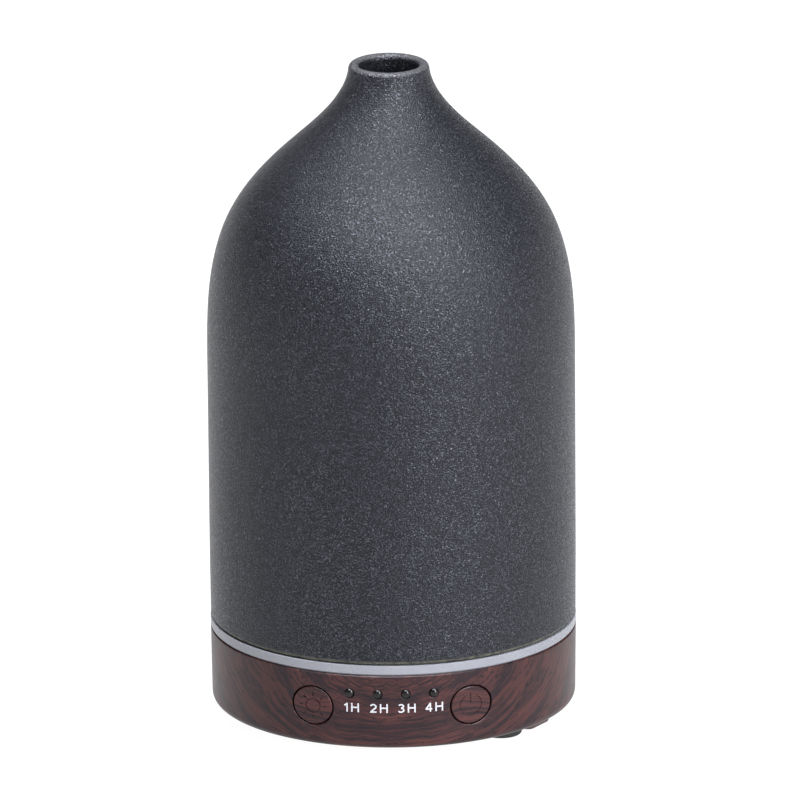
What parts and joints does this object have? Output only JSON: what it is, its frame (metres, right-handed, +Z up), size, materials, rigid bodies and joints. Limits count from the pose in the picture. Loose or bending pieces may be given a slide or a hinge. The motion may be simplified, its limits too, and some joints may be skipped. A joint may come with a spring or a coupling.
{
  "type": "essential oil diffuser",
  "caption": "Round ultrasonic aroma diffuser: lift-off ceramic bottle-shaped cover over a water tank and lid, on a wood-look base with buttons, timer lights and a light ring.",
  "frame": {"origin": "on the table under the middle of the object, at the bottom of the rubber feet", "axes": "+Z up along the axis of the round body, -Y towards the front with the buttons, +X to the right seen from the front"},
  "size_m": [0.0934, 0.0934, 0.1708],
  "materials": {
    "dark_ceramic": "satin, fine sandy speckle",
    "wood_print": "satin lacquered rosewood print",
    "frosted_ring": "frosted translucent",
    "white_plastic": "satin moulded polypropylene",
    "brown_plastic": "moulded, lightly textured",
    "black_plastic": "moulded",
    "smoky_lens": "clear smoky moulding",
    "rubber": "matt",
    "silicone": "translucent matt",
    "steel": "zinc plated",
    "circuit_board": "solder mask",
    "white_board": "white solder mask",
    "led_body": "white case with clear lens",
    "piezo": "metal face with silvered back",
    "plated_pin": "nickel plated",
    "ferrite": "matt",
    "copper_wire": "enamelled winding",
    "aluminium": "satin",
    "wire_jacket": "flexible insulation"
  },
  "bodies": {
    "base": {"water_tank": "white_plastic", "air_tower": "white_plastic", "tank_gasket": "silicone", "tank_screws": "steel", "light_ring": "frosted_ring", "light_board": "white_board", "ring_leds": "led_body", "base_housing": "wood_print", "bottom_cover": "brown_plastic", "cover_screws": "steel", "foot_front_right": "rubber", "foot_left": "rubber", "foot_rear": "rubber", "piezo_seal": "silicone", "piezo_disc": "piezo", "piezo_clamp": "white_plastic", "clamp_screws": "steel", "fan_frame": "black_plastic", "fan_stator": "black_plastic", "fan_duct": "white_plastic", "main_board": "circuit_board", "board_screws": "steel", "driver_coil": "ferrite", "coil_winding": "copper_wire", "filter_capacitor": "aluminium", "heat_sink": "aluminium", "driver_transistor": "black_plastic", "control_chip": "black_plastic", "display_board": "circuit_board", "board_header": "black_plastic", "light_switch": "black_plastic", "power_switch": "black_plastic", "timer_lens": "smoky_lens", "timer_leds": "led_body", "power_jack": "black_plastic", "jack_pin": "plated_pin", "piezo_leads": "wire_jacket", "fan_leads": "wire_jacket", "light_leads": "wire_jacket"},
    "cover": {"ceramic_shell": "dark_ceramic"},
    "lid": {"inner_lid": "white_plastic"},
    "light_key": {"light_button": "wood_print", "light_switch_plunger": "brown_plastic"},
    "power_key": {"power_button": "wood_print", "power_switch_plunger": "brown_plastic"},
    "rotor": {"fan_rotor": "black_plastic"}
  },
  "joints": [
    {"name": "cover_lift", "type": "slide", "parent": "base", "child": "cover", "axis": [0, 0, 1], "range_m": [0, 0.17]},
    {"name": "lid_lift", "type": "slide", "parent": "base", "child": "lid", "axis": [0, 0, 1], "range_m": [0, 0.025]},
    {"name": "light_press", "type": "slide", "parent": "base", "child": "light_key", "axis": [0, 1, 0], "range_m": [0, 0.0005], "stiffness_N_per_m": 1200, "springref_m": -0.001},
    {"name": "power_press", "type": "slide", "parent": "base", "child": "power_key", "axis": [0, 1, 0], "range_m": [0, 0.0005], "stiffness_N_per_m": 1200, "springref_m": -0.001},
    {"name": "fan_spin", "type": "hinge", "parent": "base", "child": "rotor", "pos_m": [-0.0265, 0.0053, 0.009], "axis": [0, 0, 1], "continuous": true}
  ]
}
